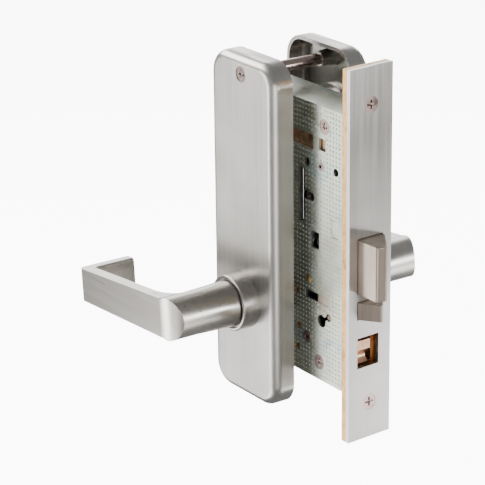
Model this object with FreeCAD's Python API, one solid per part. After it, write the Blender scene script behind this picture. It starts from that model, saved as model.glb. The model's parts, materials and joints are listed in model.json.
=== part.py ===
import FreeCAD, Part
import math
import os

from FreeCAD import Vector

# Mortise lock with escutcheon trim and return levers.
# Frame: origin at the centre of the armoured front's outer face, +X out of the door edge,
# +Y through the door towards its outside, +Z up. Millimetres.

X_AXIS = Vector(1, 0, 0)
Y_AXIS = Vector(0, 1, 0)
Z_AXIS = Vector(0, 0, 1)

# ---------------------------------------------------------------- driving dimensions
BEVEL = math.degrees(math.atan(1 / 16))      # the front leans 1/8 in over 2 in
FRONT_HEIGHT = 203.2
FRONT_WIDTH = 28.6
ARMOR_THICK = 2.4
INNER_THICK = 3.2
FRONT_THICK = ARMOR_THICK + INNER_THICK

CASE_HEIGHT = 152.4
CASE_THICK = 22.2
CASE_BACK_X = -104.8
SHEET = 1.6
CASE_TOP = CASE_HEIGHT / 2
CASE_SIDE = CASE_THICK / 2
CASE_INSIDE = CASE_SIDE - SHEET

BACKSET = 69.85
LEVER_X = -BACKSET
LEVER_Z = -38.2
CYLINDER_Z = LEVER_Z + 92.1                  # 3-5/8 in from lever to cylinder

DOOR_THICK = 37.4
RIM_Y = DOOR_THICK / 2
TRIM_WIDTH = 57.15
TRIM_HEIGHT = 190.5
TRIM_DEPTH = 12.9
TRIM_CENTRE_Z = 1.0
TRIM_WALL = 2.2
TRIM_CORNER = 13.0
TRIM_EDGE = 5.0
FACE_Y = RIM_Y + TRIM_DEPTH
POST_Z = 86.8

LATCH_Z = -3.9
LATCH_HEIGHT = 29.8
LATCH_HALF_WIDTH = 8.4
LATCH_THROW = 17.5
AUX_Z = -28.4
AUX_HEIGHT = 9.6
AUX_THROW = 10.8
BOLT_GAP = 0.3

HUB_RADIUS = 11.5
HUB_BOSS = 9.9
BOSS_GAP = 0.08
SPINDLE = 8.0
PIN_GAP = 0.06

LEVER_DROOP = 4.2                            # the slack that lets a lever hang below level
SHANK_RADIUS = 12.7
SHANK_NECK = 11.75
BAR_OUTER_Y = 81.7
BAR_THICK = 6.6
BAR_LENGTH = 87.0
BAR_ROOT_HALF = 10.9
BAR_TIP_HALF = 9.3
RETURN_LENGTH = 32.0
ELBOW_RADIUS = 33.7                          # of the elbow's outer face, seen from above
ELBOW_START = -5.2                           # where that face leaves the bar's flat, from the axis
CROOK = 8.0
COLLAR_RADIUS = 15.5
COLLAR_LENGTH = 10.0

TOGGLE_Z = -52.3
TOGGLE_PIVOT_X = -8.5
TOGGLE_HALF = 8.5
TOGGLE_NEAR_Y = -8.4
TOGGLE_FAR_Y = 6.1
FRONT_SCREW_Z = 81.5
CASE_SCREW_Z = 92.1
CASE_SCREW_RADIUS = 2.8
CASE_SCREW_SINK = 2.4

CYLINDER_RADIUS = 14.6
PLUG_RADIUS = 6.35
PLUG_Z = CYLINDER_Z + 5.0


# ---------------------------------------------------------------- small helpers
def block(x0, x1, y0, y1, z0, z1):
    """Box between two corners."""
    return Part.makeBox(x1 - x0, y1 - y0, z1 - z0, Vector(x0, y0, z0))


def rod_x(x0, x1, y, z, radius):
    """Round bar along X."""
    return Part.makeCylinder(radius, x1 - x0, Vector(x0, y, z), X_AXIS)


def rod_y(x, z, y0, y1, radius):
    """Round bar along Y."""
    return Part.makeCylinder(radius, y1 - y0, Vector(x, y0, z), Y_AXIS)


def fuse_all(first, *others):
    """One solid from several that touch or overlap."""
    shape = first
    for other in others:
        shape = shape.fuse(other)
    return shape.removeSplitter()


def cut_all(shape, *tools):
    """The shape less every tool."""
    for tool in tools:
        shape = shape.cut(tool)
    return shape


def group(*solids):
    """Separate solids that share one node."""
    return Part.makeCompound(list(solids))


def mirror_y(shape):
    """The same piece on the other face of the door."""
    return shape.mirror(Vector(0, 0, 0), Y_AXIS)


def edges_along(shape, direction):
    """Straight edges that run along a direction."""
    found = []
    for edge in shape.Edges:
        if edge.Curve.TypeId != "Part::GeomLine":
            continue
        run = edge.Vertexes[-1].Point.sub(edge.Vertexes[0].Point)
        if run.Length > 1e-6 and run.cross(direction).Length < 1e-6 * run.Length:
            found.append(edge)
    return found


def bevelled(shape):
    """Turn a plate of the front from square to the door's bevel."""
    turned = shape.copy()
    turned.rotate(Vector(0, 0, 0), Z_AXIS, BEVEL)
    return turned


def phillips(radius, depth):
    """Cross recess that opens at z = 0 and points down, for a head of this radius."""
    arm = radius * 0.62
    half = radius * 0.13
    cross = fuse_all(
        Part.makeBox(2 * arm, 2 * half, depth, Vector(-arm, -half, -depth)),
        Part.makeBox(2 * half, 2 * arm, depth, Vector(-half, -arm, -depth)),
    )
    cone = Part.makeCone(0.2, arm, depth, Vector(0, 0, -depth))
    return cross.common(cone)


def flat_screw(head_radius, head_height, shank_radius, length):
    """Countersunk cross-recess screw, head face at z = 0, shank down to -length."""
    head = Part.makeCone(shank_radius, head_radius, head_height - 0.3, Vector(0, 0, -head_height))
    rim = Part.makeCylinder(head_radius, 0.3, Vector(0, 0, -0.3))
    shank = Part.makeCylinder(shank_radius, length - head_height, Vector(0, 0, -length))
    return fuse_all(head, rim, shank).cut(phillips(head_radius, head_height * 0.75))


def countersink(head_radius, head_height, shank_radius, length, gap=0.0):
    """The hole such a screw lies in."""
    head = Part.makeCone(shank_radius + gap, head_radius + gap, head_height - 0.3 + gap,
                         Vector(0, 0, -head_height - gap))
    rim = Part.makeCylinder(head_radius + gap, 1.3, Vector(0, 0, -0.3))
    shank = Part.makeCylinder(shank_radius + gap, length + 1, Vector(0, 0, -length - 1))
    return fuse_all(head, rim, shank)


def point_along(shape, direction, place):
    """Stand a piece made along +Z on another direction, and put it in place."""
    moved = shape.copy()
    moved.Placement = FreeCAD.Placement(place, FreeCAD.Rotation(Z_AXIS, direction))
    return moved


def coil_x(x0, x1, y, z, radius, wire, turns):
    """Compression spring along X."""
    pitch = (x1 - x0 - wire) / turns
    helix = Part.makeHelix(pitch, x1 - x0 - wire, radius)
    circle = Part.Wire(Part.makeCircle(wire / 2, Vector(radius, 0, 0), Y_AXIS))
    spring = Part.Wire(helix.Edges).makePipeShell([circle], True, True)
    return point_along(spring, X_AXIS, Vector(x0 + wire / 2, y, z))


# ---------------------------------------------------------------- the front
def front_openings():
    """What the bolts and the toggle stand in, cut square to the case."""
    deep = 12
    latch = block(-deep, deep, -LATCH_HALF_WIDTH - BOLT_GAP, LATCH_HALF_WIDTH + BOLT_GAP,
                  LATCH_Z - LATCH_HEIGHT / 2 - BOLT_GAP, LATCH_Z + LATCH_HEIGHT / 2 + BOLT_GAP)
    aux = block(-deep, deep, -LATCH_HALF_WIDTH - BOLT_GAP, LATCH_HALF_WIDTH + BOLT_GAP,
                AUX_Z - AUX_HEIGHT / 2 - BOLT_GAP, AUX_Z + AUX_HEIGHT / 2 + BOLT_GAP)
    toggle = block(-deep, deep, TOGGLE_NEAR_Y, TOGGLE_FAR_Y,
                   TOGGLE_Z - TOGGLE_HALF, TOGGLE_Z + TOGGLE_HALF)
    return [latch, aux, toggle]


FRONT_HEAD = 4.4
FRONT_HEAD_HEIGHT = 2.2
FRONT_SCREW_SHANK = 1.9


def front_plate(x0, x1):
    """Bevelled strip between two depths behind the outer face, with its openings."""
    half_width = FRONT_WIDTH / 2
    half_height = FRONT_HEIGHT / 2
    plate = bevelled(block(x0, x1, -half_width, half_width, -half_height, half_height))
    return cut_all(plate, *front_openings())


def armored_front():
    """Stainless outer plate, held by two countersunk screws."""
    plate = front_plate(-ARMOR_THICK, 0)
    for z in (FRONT_SCREW_Z, -FRONT_SCREW_Z):
        hole = countersink(FRONT_HEAD, FRONT_HEAD_HEIGHT, FRONT_SCREW_SHANK, 6)
        plate = plate.cut(bevelled(point_along(hole, X_AXIS, Vector(-0.15, 0, z))))
    return plate


def inner_front():
    """Steel plate of the case, with tapped holes and the two holes for the case screws."""
    plate = front_plate(-FRONT_THICK, -ARMOR_THICK)
    for z in (FRONT_SCREW_Z, -FRONT_SCREW_Z):
        plate = plate.cut(bevelled(rod_x(-FRONT_THICK - 1, 0, 0, z, FRONT_SCREW_SHANK)))
    for z in (CASE_SCREW_Z, -CASE_SCREW_Z):
        plate = plate.cut(rod_x(-12, 12, 0, z, CASE_SCREW_RADIUS))
        plate = plate.cut(Part.makeCone(CASE_SCREW_RADIUS, CASE_SCREW_RADIUS + CASE_SCREW_SINK,
                                        CASE_SCREW_SINK, Vector(-4.2, 0, z), X_AXIS))
    return plate


def front_screws():
    """Two countersunk screws that hold the armoured front to the inner front."""
    made = []
    for z in (FRONT_SCREW_Z, -FRONT_SCREW_Z):
        screw = flat_screw(FRONT_HEAD, FRONT_HEAD_HEIGHT, FRONT_SCREW_SHANK, 8)
        made.append(bevelled(point_along(screw, X_AXIS, Vector(-0.15, 0, z))))
    return group(*made)


# ---------------------------------------------------------------- the case
COVER_SCREW_PLACES = [(-24.7, 65.7), (-29.0, -66.0), (-97.0, 65.7), (-97.0, -66.0)]
COVER_HEAD = 4.2
COVER_HEAD_HEIGHT = 1.5
COVER_SHANK = 1.7
SMALL_HOLES = [(-39.7, 43.4, 2.2), (-14.8, 43.6, 2.1)]
EYELETS = [(-27.8, 43.6, 2.2, 1.0), (-39.7, -54.7, 3.4, 1.3)]
RIVET_HEADS = [(-38.8, -21.4, 2.7), (-47.6, -30.5, 2.0), (-46.8, -50.5, 2.0), (-48.2, -63.0, 2.0)]
SHOE_X0 = -30.2
SHOE_X1 = -20.1
SHOE_Z0 = -31.9
SHOE_Z1 = -27.7
KEYHOLE = (-26.9, -41.9, 3.4)
KEYHOLE_LOBE = (-20.9, -38.2, 2.1)
TAB = (-18.2, -12.8, 7.8, 17.0)
WIRE_X = -43.8


def behind_front(shape):
    """Trim a part of the case to the inner front's rear face."""
    room = bevelled(block(-FRONT_THICK, 30, -40, 40, -120, 120))
    return shape.cut(room)


def case_body():
    """Folded steel tray: far wall, top, bottom and rear."""
    outer = block(CASE_BACK_X, 0, -CASE_INSIDE, CASE_SIDE, -CASE_TOP, CASE_TOP)
    hollow = block(CASE_BACK_X + SHEET, 10, -CASE_SIDE - 1, CASE_INSIDE,
                   -CASE_TOP + SHEET, CASE_TOP - SHEET)
    tray = behind_front(outer.cut(hollow))
    tray = tray.cut(rod_y(LEVER_X, LEVER_Z, 0, 20, HUB_BOSS + BOSS_GAP))
    tray = tray.cut(rod_y(LEVER_X, CYLINDER_Z, 0, 20, CYLINDER_RADIUS))
    posts = []
    for x, z in COVER_SCREW_PLACES:
        post = rod_y(x, z, -CASE_INSIDE, CASE_INSIDE, 3.6)
        posts.append(post.cut(rod_y(x, z, -CASE_INSIDE, 0, COVER_SHANK)))
    return fuse_all(tray, *posts)


def cover_windows():
    """Every opening of the near wall."""
    y0, y1 = -CASE_SIDE - 1, -CASE_INSIDE + 1
    cuts = [
        block(-60.0, -34.4, y0, y1, 51.0, 59.0),
        block(-29.3, -23.6, y0, y1, 52.4, 58.8),
        block(-46.0, -41.6, y0, y1, 9.5, 39.0),
        block(-42.0, -35.6, y0, y1, 22.8, 27.2),
        rod_y(-35.6, 25.0, y0, y1, 2.2),
        block(-36.3, -29.3, y0, y1, -2.7, 6.5),
        block(SHOE_X0 - AUX_THROW - 0.4, SHOE_X1 + 0.15, y0, y1, SHOE_Z0 - 0.15, SHOE_Z1 + 0.15),
        rod_y(LEVER_X, LEVER_Z, y0, y1, HUB_BOSS + BOSS_GAP),
        rod_y(KEYHOLE[0], KEYHOLE[1], y0, y1, KEYHOLE[2]),
        rod_y(KEYHOLE_LOBE[0], KEYHOLE_LOBE[1], y0, y1, KEYHOLE_LOBE[2]),
        block(TAB[0] - 0.15, TAB[1] + 0.15, y0, y1, TAB[2] - 0.15, TAB[3] + 0.15),
    ]
    neck = Part.makeBox(5, 4, 1.8, Vector(0, y0, -0.9))
    neck.rotate(Vector(0, 0, 0), Y_AXIS, -32)
    neck.translate(Vector(KEYHOLE[0] + 2, 0, KEYHOLE[1] + 1.3))
    cuts.append(neck)
    for x, z, radius in SMALL_HOLES:
        cuts.append(rod_y(x, z, y0, y1, radius))
    for x, z, outer, _ in EYELETS:
        cuts.append(rod_y(x, z, y0, y1, outer - 0.8))
    return cuts


def case_cover():
    """Near wall of the case, a flat plate that lies on the tray."""
    plate = block(CASE_BACK_X, 0, -CASE_SIDE, -CASE_INSIDE, -CASE_TOP, CASE_TOP)
    plate = cut_all(behind_front(plate), *cover_windows())
    for x, z in COVER_SCREW_PLACES:
        hole = countersink(COVER_HEAD, COVER_HEAD_HEIGHT, COVER_SHANK, 4)
        plate = plate.cut(point_along(hole, Vector(0, -1, 0), Vector(x, -CASE_SIDE, z)))
    return plate


def cover_screws():
    """Four countersunk screws through the cover into the tray's posts."""
    screw = flat_screw(COVER_HEAD, COVER_HEAD_HEIGHT, COVER_SHANK, 8)
    return group(*[point_along(screw, Vector(0, -1, 0), Vector(x, -CASE_SIDE, z))
                   for x, z in COVER_SCREW_PLACES])


def cover_eyelets():
    """Hollow rivets, each a ring round a dark hole."""
    made = []
    for x, z, outer, inner in EYELETS:
        flange = rod_y(x, z, -CASE_SIDE - 0.35, -CASE_SIDE, outer)
        barrel = rod_y(x, z, -CASE_SIDE, -CASE_INSIDE, outer - 0.8)
        made.append(fuse_all(flange, barrel).cut(rod_y(x, z, -20, 0, inner)))
    return group(*made)


def cover_rivets():
    """Low domed rivet heads on the cover."""
    made = []
    for x, z, radius in RIVET_HEADS:
        height = 0.7
        ball = (radius ** 2 + height ** 2) / (2 * height)
        dome = Part.makeSphere(ball, Vector(x, -CASE_SIDE - height + ball, z))
        slab = block(x - 5, x + 5, -CASE_SIDE - 3, -CASE_SIDE, z - 5, z + 5)
        made.append(dome.common(slab))
    return group(*made)


def guide_tab():
    """Tab of the bolt guide that ends flush in the cover."""
    return block(TAB[0], TAB[1], -CASE_SIDE, -CASE_INSIDE + 0.6, TAB[2] + 4, TAB[3]).fuse(
        block(TAB[0], TAB[1], -CASE_SIDE, -CASE_INSIDE, TAB[2], TAB[2] + 4)).removeSplitter()


def bolt_guide():
    """Shelf above the latchbolt that it slides under."""
    z0 = LATCH_Z + LATCH_HEIGHT / 2 + BOLT_GAP
    return block(-36, -8, -CASE_INSIDE + 0.6, CASE_INSIDE, z0, z0 + 2)


def latch_guide():
    """Bracket that the latch tail slides through; the latch spring bears on it."""
    plate = block(-48.5, -46.5, -4.0, CASE_INSIDE, -12, 8)
    return plate.cut(rod_x(-60, -40, 0, LATCH_Z, 3.0 + BOSS_GAP))


def auxiliary_guide():
    """Bracket for the auxiliary bolt's tail."""
    plate = block(-44.0, -42.5, -4.5, CASE_INSIDE, -33.5, -23)
    return plate.cut(rod_x(-60, -30, 0, AUX_Z, 2.0 + BOSS_GAP))


def wire_spring():
    """Thin vertical wire behind the long slot, hooked into it at both ends."""
    wire = 0.55
    upright = Part.makeCylinder(wire, 28, Vector(WIRE_X, -CASE_SIDE + 0.7, 10.6))
    hook_top = rod_y(WIRE_X, 38.0, -CASE_SIDE + 0.7, -5, wire)
    hook_low = rod_y(WIRE_X, 11.2, -CASE_SIDE + 0.7, -5, wire)
    return fuse_all(upright, hook_top, hook_low)


def slot_pin():
    """Headed pin that shows in the short slot beside the wire."""
    return fuse_all(rod_y(-38.6, 25.0, -CASE_SIDE + 0.4, -CASE_SIDE + 1.2, 1.9),
                    rod_y(-38.6, 25.0, -CASE_SIDE + 1.2, CASE_INSIDE, 1.1))


def keyhole_stud():
    """Round stud that stands in the side lobe of the keyhole."""
    x, z, _ = KEYHOLE_LOBE
    return rod_y(x + 0.3, z, -CASE_SIDE + 0.2, CASE_INSIDE, 1.4)


# ---------------------------------------------------------------- latchbolt and auxiliary bolt
def prism_z(points, z0, z1):
    """Upright prism on an outline of (x, y) points."""
    wire = Part.makePolygon([Vector(x, y, z0) for x, y in points + points[:1]])
    return Part.Face(wire).extrude(Vector(0, 0, z1 - z0))


def latchbolt():
    """Latch head: straight near side, blunt nose and a long bevel on the far side."""
    half = LATCH_HALF_WIDTH
    outline = [(-20.0, -half), (16.0, -half), (LATCH_THROW, -2.6), (1.4, half), (-20.0, half)]
    head = prism_z(outline, LATCH_Z - LATCH_HEIGHT / 2, LATCH_Z + LATCH_HEIGHT / 2)
    nose = [e for e in edges_along(head, Z_AXIS) if e.Vertexes[0].Point.x > 10]
    head = head.makeFillet(1.6, nose)
    return head.cut(rod_x(-21, -12, 0, LATCH_Z, 3.0))


TAIL_FACE_X = LEVER_X - 4.3


def latch_tail():
    """Rod behind the latch head, with the plate that the hub's arm draws back."""
    rod = rod_x(TAIL_FACE_X - 1, -12, 0, LATCH_Z, 3.0)
    plate = block(TAIL_FACE_X - 4, TAIL_FACE_X, -8.0, 3.6, -24, 2)
    return fuse_all(rod, plate)


def latch_spring():
    """Compression spring between the latch head and its guide."""
    return coil_x(-46.4, -20.1, 0, LATCH_Z, 4.4, 1.0, 7)


def auxiliary_bolt():
    """Guard bolt, a wedge with its edge on the centre line."""
    half = LATCH_HALF_WIDTH
    outline = [(-15.0, -half), (0.4, -half), (AUX_THROW - 0.4, -0.6), (AUX_THROW - 0.4, 0.6),
               (-0.6, half), (-15.0, half)]
    head = prism_z(outline, AUX_Z - AUX_HEIGHT / 2, AUX_Z + AUX_HEIGHT / 2)
    return head.cut(rod_x(-16, -9, 0, AUX_Z, 2.0))


def auxiliary_tail():
    """Rod behind the guard bolt, with the shoe that runs in the cover's slot."""
    rod = rod_x(-46.0, -9, 0, AUX_Z, 2.0)
    web = block(-26.0, -23.0, -CASE_INSIDE + 0.3, 1.5, AUX_Z - 2.4, AUX_Z + 2.0)
    shoe = block(SHOE_X0, SHOE_X1, -CASE_SIDE + 0.2, -CASE_INSIDE + 0.4, SHOE_Z0, SHOE_Z1)
    return fuse_all(rod, web, shoe)


def auxiliary_spring():
    """Compression spring between the auxiliary tail's web and its guide."""
    return coil_x(-42.4, -26.1, 0, AUX_Z, 3.3, 0.9, 6)


DEADLOCK_PIVOT = (-55.5, -19.0)


def deadlock_lever():
    """Lever that swings behind the latch tail's path as the guard bolt goes in."""
    x, z = DEADLOCK_PIVOT
    boss = rod_y(x, z, 4.4, 6.6, 3.2)
    arm = block(x - 2.0, x + 2.0, 4.4, 6.6, z, z + 14)
    hook = block(x - 4.2, x + 2.0, 4.4, 6.6, z + 11, z + 14)
    return fuse_all(boss, arm, hook).cut(rod_y(x, z, 0, 10, 1.5 + PIN_GAP))


def deadlock_pin():
    """Pivot of the deadlock lever, riveted in the tray."""
    x, z = DEADLOCK_PIVOT
    return rod_y(x, z, 3.6, CASE_INSIDE, 1.5)


# ---------------------------------------------------------------- hubs, spindles and levers
def square_bar(y0, y1, side):
    """Square spindle on the lever's axis."""
    half = side / 2
    return block(LEVER_X - half, LEVER_X + half, y0, y1, LEVER_Z - half, LEVER_Z + half)


def hub(arm_reach):
    """Near hub: a disc with an upright arm, its boss running in the case wall."""
    disc = rod_y(LEVER_X, LEVER_Z, -6.4, -0.6, HUB_RADIUS)
    boss = rod_y(LEVER_X, LEVER_Z, -CASE_SIDE - 0.6, -6.4, HUB_BOSS)
    arm = block(LEVER_X - 4, LEVER_X + 4, -6.4, -0.6, LEVER_Z, LEVER_Z + arm_reach)
    return fuse_all(disc, boss, arm).cut(square_bar(-20, 0, SPINDLE))


def inside_hub():
    """Hub whose arm reaches the latch tail."""
    return hub(22.0)


def outside_hub():
    """Hub of the outside lever, with the notch that the stop faces."""
    notch = block(LEVER_X + 9.6, LEVER_X + 14, 0, 8, TOGGLE_Z + 2.5, TOGGLE_Z + 8.0)
    return mirror_y(hub(12.6)).cut(notch)


def inside_spindle():
    """Square spindle from the inside hub into the inside lever."""
    return square_bar(-56.0, -0.6, SPINDLE)


def hub_spring():
    """Torsion spring round the hub's boss, with both legs turned up."""
    wire = 1.0
    radius = HUB_BOSS + 0.9
    coils = [Part.makeTorus(radius, wire / 2, Vector(LEVER_X, y, LEVER_Z), Y_AXIS)
             for y in (-8.9, -7.9, -6.95)]
    return group(*coils)


def lever_outline():
    """Flat outline of bar and return, seen from above, as a face at z = 0."""
    outer = -BAR_OUTER_Y
    inner = outer + BAR_THICK
    tip = -BAR_LENGTH
    root = -math.sqrt(SHANK_NECK ** 2 - BAR_ROOT_HALF ** 2)
    corner = 3.6
    bend = 2.6
    end_y = outer + RETURN_LENGTH
    s = math.sqrt(0.5)

    def arc(x0, y0, cx, cy, radius, x1, y1):
        middle = Vector(cx - s * radius, cy - s * radius, 0)
        return Part.Arc(Vector(x0, y0, 0), middle, Vector(x1, y1, 0)).toShape()

    def line(x0, y0, x1, y1):
        return Part.LineSegment(Vector(x0, y0, 0), Vector(x1, y1, 0)).toShape()

    edges = [
        line(root, inner, root, outer),
        line(root, outer, tip + corner, outer),
        arc(tip + corner, outer, tip + corner, outer + corner, corner, tip, outer + corner),
        line(tip, outer + corner, tip, end_y),
        line(tip, end_y, tip + BAR_THICK, end_y),
        line(tip + BAR_THICK, end_y, tip + BAR_THICK, inner + bend),
        arc(tip + BAR_THICK, inner + bend, tip + BAR_THICK + bend, inner + bend, bend,
            tip + BAR_THICK + bend, inner),
        line(tip + BAR_THICK + bend, inner, root, inner),
    ]
    return Part.Face(Part.Wire(edges))


def lever_profile():
    """Side outline of the lever: the bar tapers from the elbow to its tip."""
    neck = SHANK_NECK
    tip = -BAR_LENGTH - 1
    points = [(0, -BAR_ROOT_HALF), (-neck, -BAR_ROOT_HALF), (tip, -BAR_TIP_HALF),
              (tip, BAR_TIP_HALF), (-neck, BAR_ROOT_HALF), (0, BAR_ROOT_HALF)]
    wire = Part.makePolygon([Vector(x, -120, z) for x, z in points + points[:1]])
    return Part.Face(wire).extrude(Vector(0, 120, 0))


def lever_flare():
    """Hollow curve between the round shank and the bar's inner face, on the bar's side only."""
    inner = -BAR_OUTER_Y + BAR_THICK
    neck = SHANK_NECK
    wide = neck + CROOK
    s = CROOK * math.sqrt(0.5)
    start = Vector(neck, inner + CROOK, 0)
    end = Vector(wide, inner, 0)
    middle = Vector(wide - s, inner + CROOK - s, 0)
    root = inner - 3.0
    edges = [
        Part.Arc(start, middle, end).toShape(),
        Part.LineSegment(end, Vector(wide, root, 0)).toShape(),
        Part.LineSegment(Vector(wide, root, 0), Vector(0, root, 0)).toShape(),
        Part.LineSegment(Vector(0, root, 0), Vector(0, inner + CROOK, 0)).toShape(),
        Part.LineSegment(Vector(0, inner + CROOK, 0), start).toShape(),
    ]
    turned = Part.Face(Part.Wire(edges)).revolve(Vector(0, 0, 0), Y_AXIS, 360)
    return turned.common(lever_profile())


def near_lever():
    """Return lever: round shank cut off by the elbow's curved face, flat bar and a return."""
    flat = lever_outline()
    flat.translate(Vector(0, 0, -20))
    bar = flat.extrude(Vector(0, 0, 40)).common(lever_profile())
    collar_end = FACE_Y + COLLAR_LENGTH + 1
    neck_y = BAR_OUTER_Y - 16.5
    straight = rod_y(0, 0, -collar_end, -RIM_Y - 2, SHANK_RADIUS)
    taper = Part.makeCone(SHANK_NECK, SHANK_RADIUS, neck_y - collar_end,
                          Vector(0, -neck_y, 0), Y_AXIS)
    elbow_face = Part.makeCylinder(ELBOW_RADIUS, 40, Vector(ELBOW_START, ELBOW_RADIUS - BAR_OUTER_Y, -20))
    knuckle = rod_y(0, 0, -BAR_OUTER_Y, -neck_y, SHANK_NECK).common(elbow_face)
    lever = fuse_all(straight, taper, knuckle, lever_flare(), bar)
    lever.rotate(Vector(0, 0, 0), Y_AXIS, -LEVER_DROOP)
    lever.translate(Vector(LEVER_X, 0, LEVER_Z))
    return lever.cut(square_bar(-56.0, 0, SPINDLE))


def near_collar():
    """Trim ring round the shank, with a groove in its front face."""
    ring = rod_y(LEVER_X, LEVER_Z, -FACE_Y - COLLAR_LENGTH, -FACE_Y, COLLAR_RADIUS)
    front = [e for e in ring.Edges
             if e.BoundBox.YLength < 1e-4 and abs(e.BoundBox.YMin + FACE_Y + COLLAR_LENGTH) < 1e-4]
    ring = ring.makeFillet(1.0, front)
    ring = ring.cut(rod_y(LEVER_X, LEVER_Z, -80, 0, SHANK_RADIUS + BOSS_GAP))
    flare = Part.makeCone(SHANK_RADIUS + 1.1, SHANK_RADIUS, 1.6,
                          Vector(LEVER_X, -FACE_Y - COLLAR_LENGTH, LEVER_Z), Y_AXIS)
    return ring.cut(flare)


# ---------------------------------------------------------------- escutcheons
def trim_block(inset, y_face, y_open):
    """Rounded block with softened face edges, from which a shell is cut."""
    half_width = TRIM_WIDTH / 2 - inset
    half_height = TRIM_HEIGHT / 2 - inset
    shape = block(LEVER_X - half_width, LEVER_X + half_width, y_face, y_open,
                  TRIM_CENTRE_Z - half_height, TRIM_CENTRE_Z + half_height)
    shape = shape.makeFillet(TRIM_CORNER - inset, edges_along(shape, Y_AXIS))
    face_edges = [e for e in shape.Edges
                  if e.BoundBox.YLength < 1e-4 and abs(e.BoundBox.YMin - y_face) < 1e-4]
    return shape.makeFillet(TRIM_EDGE - inset * 0.8, face_edges)


def near_escutcheon_shell():
    """Drawn plate, open towards the door, with the lever's hole."""
    shell = trim_block(0, -FACE_Y, -RIM_Y).cut(trim_block(TRIM_WALL, -FACE_Y + TRIM_WALL, -RIM_Y + 5))
    return shell.cut(rod_y(LEVER_X, LEVER_Z, -60, 0, SHANK_RADIUS + 0.4))


TRIM_HEAD = 4.3
TRIM_HEAD_HEIGHT = 2.2
TRIM_SCREW_SHANK = 1.9
SCREW_SINK = 0.5


def inside_escutcheon():
    """Inside plate, with a countersunk screw at its top."""
    boss = rod_y(LEVER_X, POST_Z, -FACE_Y + 1.0, -RIM_Y, 5.2)
    shell = fuse_all(near_escutcheon_shell(), boss)
    hole = countersink(TRIM_HEAD, TRIM_HEAD_HEIGHT, TRIM_SCREW_SHANK, 30)
    shell = shell.cut(point_along(hole, Vector(0, -1, 0), Vector(LEVER_X, -FACE_Y + SCREW_SINK, POST_Z)))
    return shell.cut(rod_y(LEVER_X, POST_Z, -RIM_Y - 6, 0, 3.1))


def outside_escutcheon():
    """Outside plate, with the cylinder's hole, its inner ring and the stub for the post."""
    shell = mirror_y(near_escutcheon_shell())
    ring = rod_y(LEVER_X, CYLINDER_Z, FACE_Y - 4.6, FACE_Y - 1.0, CYLINDER_RADIUS + 3.0)
    stub = rod_y(LEVER_X, POST_Z, RIM_Y, FACE_Y - 1.0, 4.6)
    shell = fuse_all(shell, ring, stub)
    shell = shell.cut(rod_y(LEVER_X, CYLINDER_Z, 0, 60, CYLINDER_RADIUS + 0.2))
    return shell.cut(rod_y(LEVER_X, POST_Z, 0, RIM_Y + 8, 3.1))


def mounting_post():
    """Tube between the two plates that the trim screw enters."""
    tube = rod_y(LEVER_X, POST_Z, -RIM_Y - 6, RIM_Y + 8, 3.1)
    return tube.cut(rod_y(LEVER_X, POST_Z, -RIM_Y - 6, -4.0, TRIM_SCREW_SHANK))


def trim_screw():
    """Cross-recess screw at the top of the inside plate."""
    screw = flat_screw(TRIM_HEAD, TRIM_HEAD_HEIGHT, TRIM_SCREW_SHANK, FACE_Y - SCREW_SINK - 4.0)
    return point_along(screw, Vector(0, -1, 0), Vector(LEVER_X, -FACE_Y + SCREW_SINK, POST_Z))


# ---------------------------------------------------------------- toggle in the front
def toggle_housing():
    """Bronze box behind the front that the rocker swings in, with a slanted far wall."""
    y0, y1 = TOGGLE_NEAR_Y - 0.8, TOGGLE_FAR_Y + 1.6
    z0, z1 = TOGGLE_Z - TOGGLE_HALF - 1.2, TOGGLE_Z + TOGGLE_HALF + 1.2
    outer = behind_front(block(-18, 0, y0, y1, z0, z1))
    room = block(-16.6, 12, TOGGLE_NEAR_Y, TOGGLE_FAR_Y - 1.0,
                 TOGGLE_Z - TOGGLE_HALF, TOGGLE_Z + TOGGLE_HALF)
    slot = block(-20, -10, 1.6, 4.6, TOGGLE_Z - 7.4, TOGGLE_Z - 1.6)
    pin = rod_y(TOGGLE_PIVOT_X, TOGGLE_Z, -15, 15, 1.5)
    return cut_all(outer, room, slot, pin)


def toggle_pin():
    """Pivot of the rocker."""
    return rod_y(TOGGLE_PIVOT_X, TOGGLE_Z, TOGGLE_NEAR_Y - 0.8, TOGGLE_FAR_Y + 1.6, 1.5)


def toggle_rocker():
    """Two-position rocker, drawn with its upper pad out and its lower pad in."""
    half = TOGGLE_HALF - 1.3
    x, z = TOGGLE_PIVOT_X, TOGGLE_Z
    pad_x = -0.9
    low_x = pad_x - 3.6
    outline = [(x - 2.6, z - half), (low_x, z - half), (low_x - 0.8, z - half * 0.45),
               (low_x + 0.6, z - 0.9), (pad_x, z + 0.4), (pad_x, z + half - 0.6),
               (x - 0.6, z + half - 0.2), (x - 2.6, z + 3.0)]
    wire = Part.makePolygon([Vector(px, TOGGLE_NEAR_Y + 0.3, pz) for px, pz in outline + outline[:1]])
    pad = Part.Face(wire).extrude(Vector(0, 9.2, 0))
    return pad.cut(rod_y(x, z, -20, 20, 1.5 + PIN_GAP))


def stop_slide():
    """Bar that runs from the rocker back to the outside hub."""
    bar = block(-57.0, -19.0, 2.0, 4.2, TOGGLE_Z - 6.0, TOGGLE_Z - 2.4)
    nose = block(-57.0, -52.0, 2.0, 4.2, TOGGLE_Z - 2.4, TOGGLE_Z + 4.6)
    return fuse_all(bar, nose)


def stop_guide():
    """Bridge that holds the stop slide to the tray."""
    outer = block(-39.0, -36.0, 1.2, CASE_INSIDE, TOGGLE_Z - 8.0, TOGGLE_Z - 0.4)
    return outer.cut(block(-45, -30, 1.9, 4.3, TOGGLE_Z - 6.1, TOGGLE_Z - 2.3))


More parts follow.
